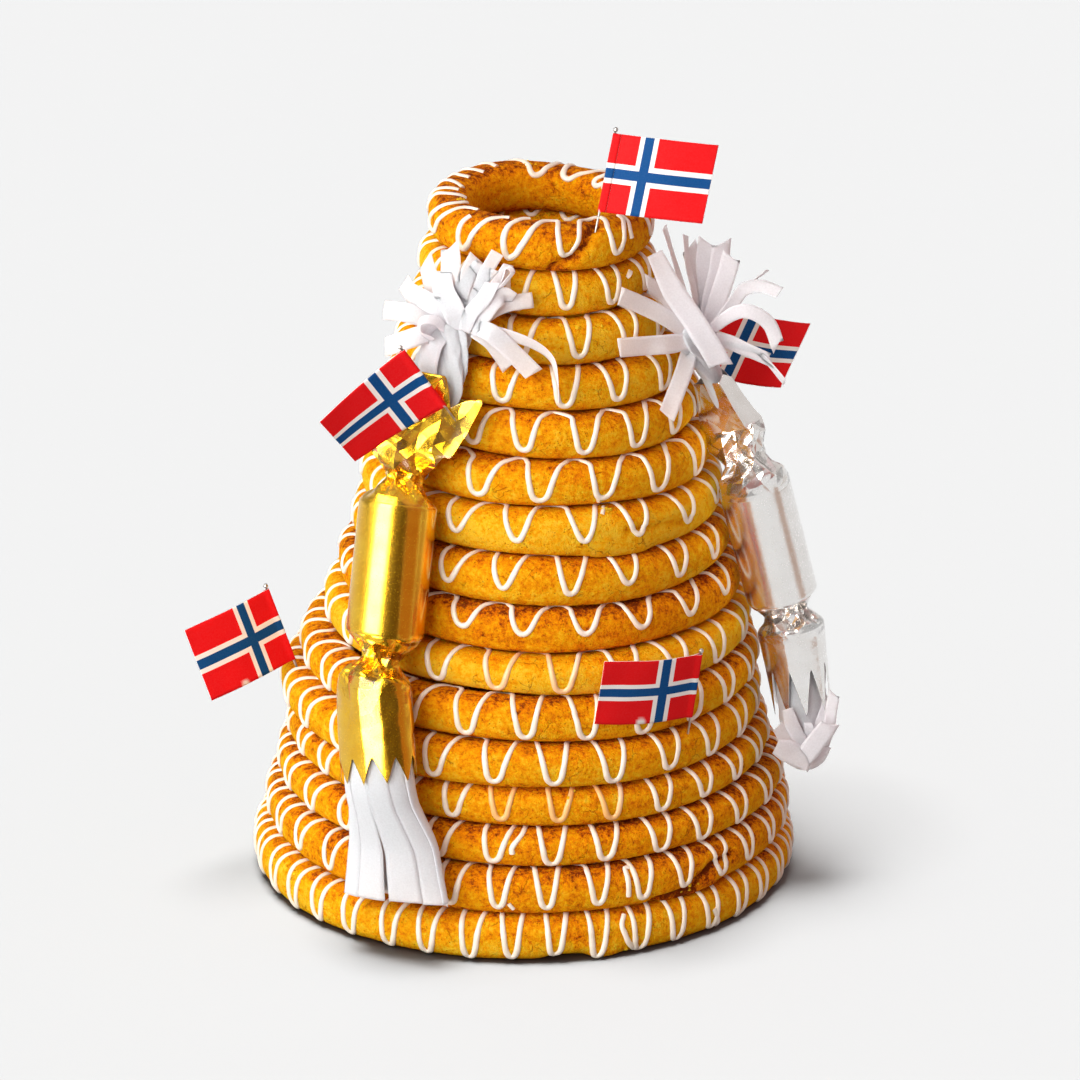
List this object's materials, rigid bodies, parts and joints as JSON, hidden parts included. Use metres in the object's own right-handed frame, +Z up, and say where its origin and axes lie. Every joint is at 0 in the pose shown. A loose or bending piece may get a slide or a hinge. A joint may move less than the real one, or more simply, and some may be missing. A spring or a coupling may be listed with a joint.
{
  "type": "kransekake",
  "caption": "Tapered tower of baked almond rings, piped with looping white icing and dressed with paper flags on pins and a gold and a silver party cracker.",
  "frame": {"origin": "middle of the whole cake's bounding box, on the surface that the bottom ring stands on", "axes": "+Z up through the tower, -Y towards the front, where the gold cracker hangs on the left and the silver one on the right at +X"},
  "size_m": [0.2736, 0.2342, 0.3381],
  "materials": {
    "dough": "baked almond dough, matt, golden with browner tops and fine dark specks",
    "gold_foil": "bright gold metallised paper, creased",
    "silver_foil": "bright silver metallised paper, creased",
    "tissue": "thin white tissue paper",
    "flag_paper": "printed paper, red with a blue cross edged white",
    "pin_wire": "thin bright wire with a small round head",
    "icing": "piped sugar icing, off white, satin"
  },
  "bodies": {
    "root": {"ring_01": "dough", "ring_02": "dough", "ring_03": "dough", "ring_04": "dough", "ring_05": "dough", "ring_06": "dough", "ring_07": "dough", "ring_08": "dough", "ring_09": "dough", "ring_10": "dough", "ring_11": "dough", "ring_12": "dough", "ring_13": "dough", "ring_14": "dough", "ring_15": "dough", "ring_16": "dough", "gold_cracker_foil": "gold_foil", "gold_cracker_tail": "tissue", "gold_cracker_burst": "tissue", "silver_cracker_foil": "silver_foil", "silver_cracker_tail": "tissue", "silver_cracker_burst": "tissue", "flag_crown_paper": "flag_paper", "flag_crown_pin": "pin_wire", "flag_right_paper": "flag_paper", "flag_right_pin": "pin_wire", "flag_left_paper": "flag_paper", "flag_left_pin": "pin_wire", "flag_low_left_paper": "flag_paper", "flag_low_left_pin": "pin_wire", "flag_front_paper": "flag_paper", "flag_front_pin": "pin_wire"}
  },
  "joints": []
}
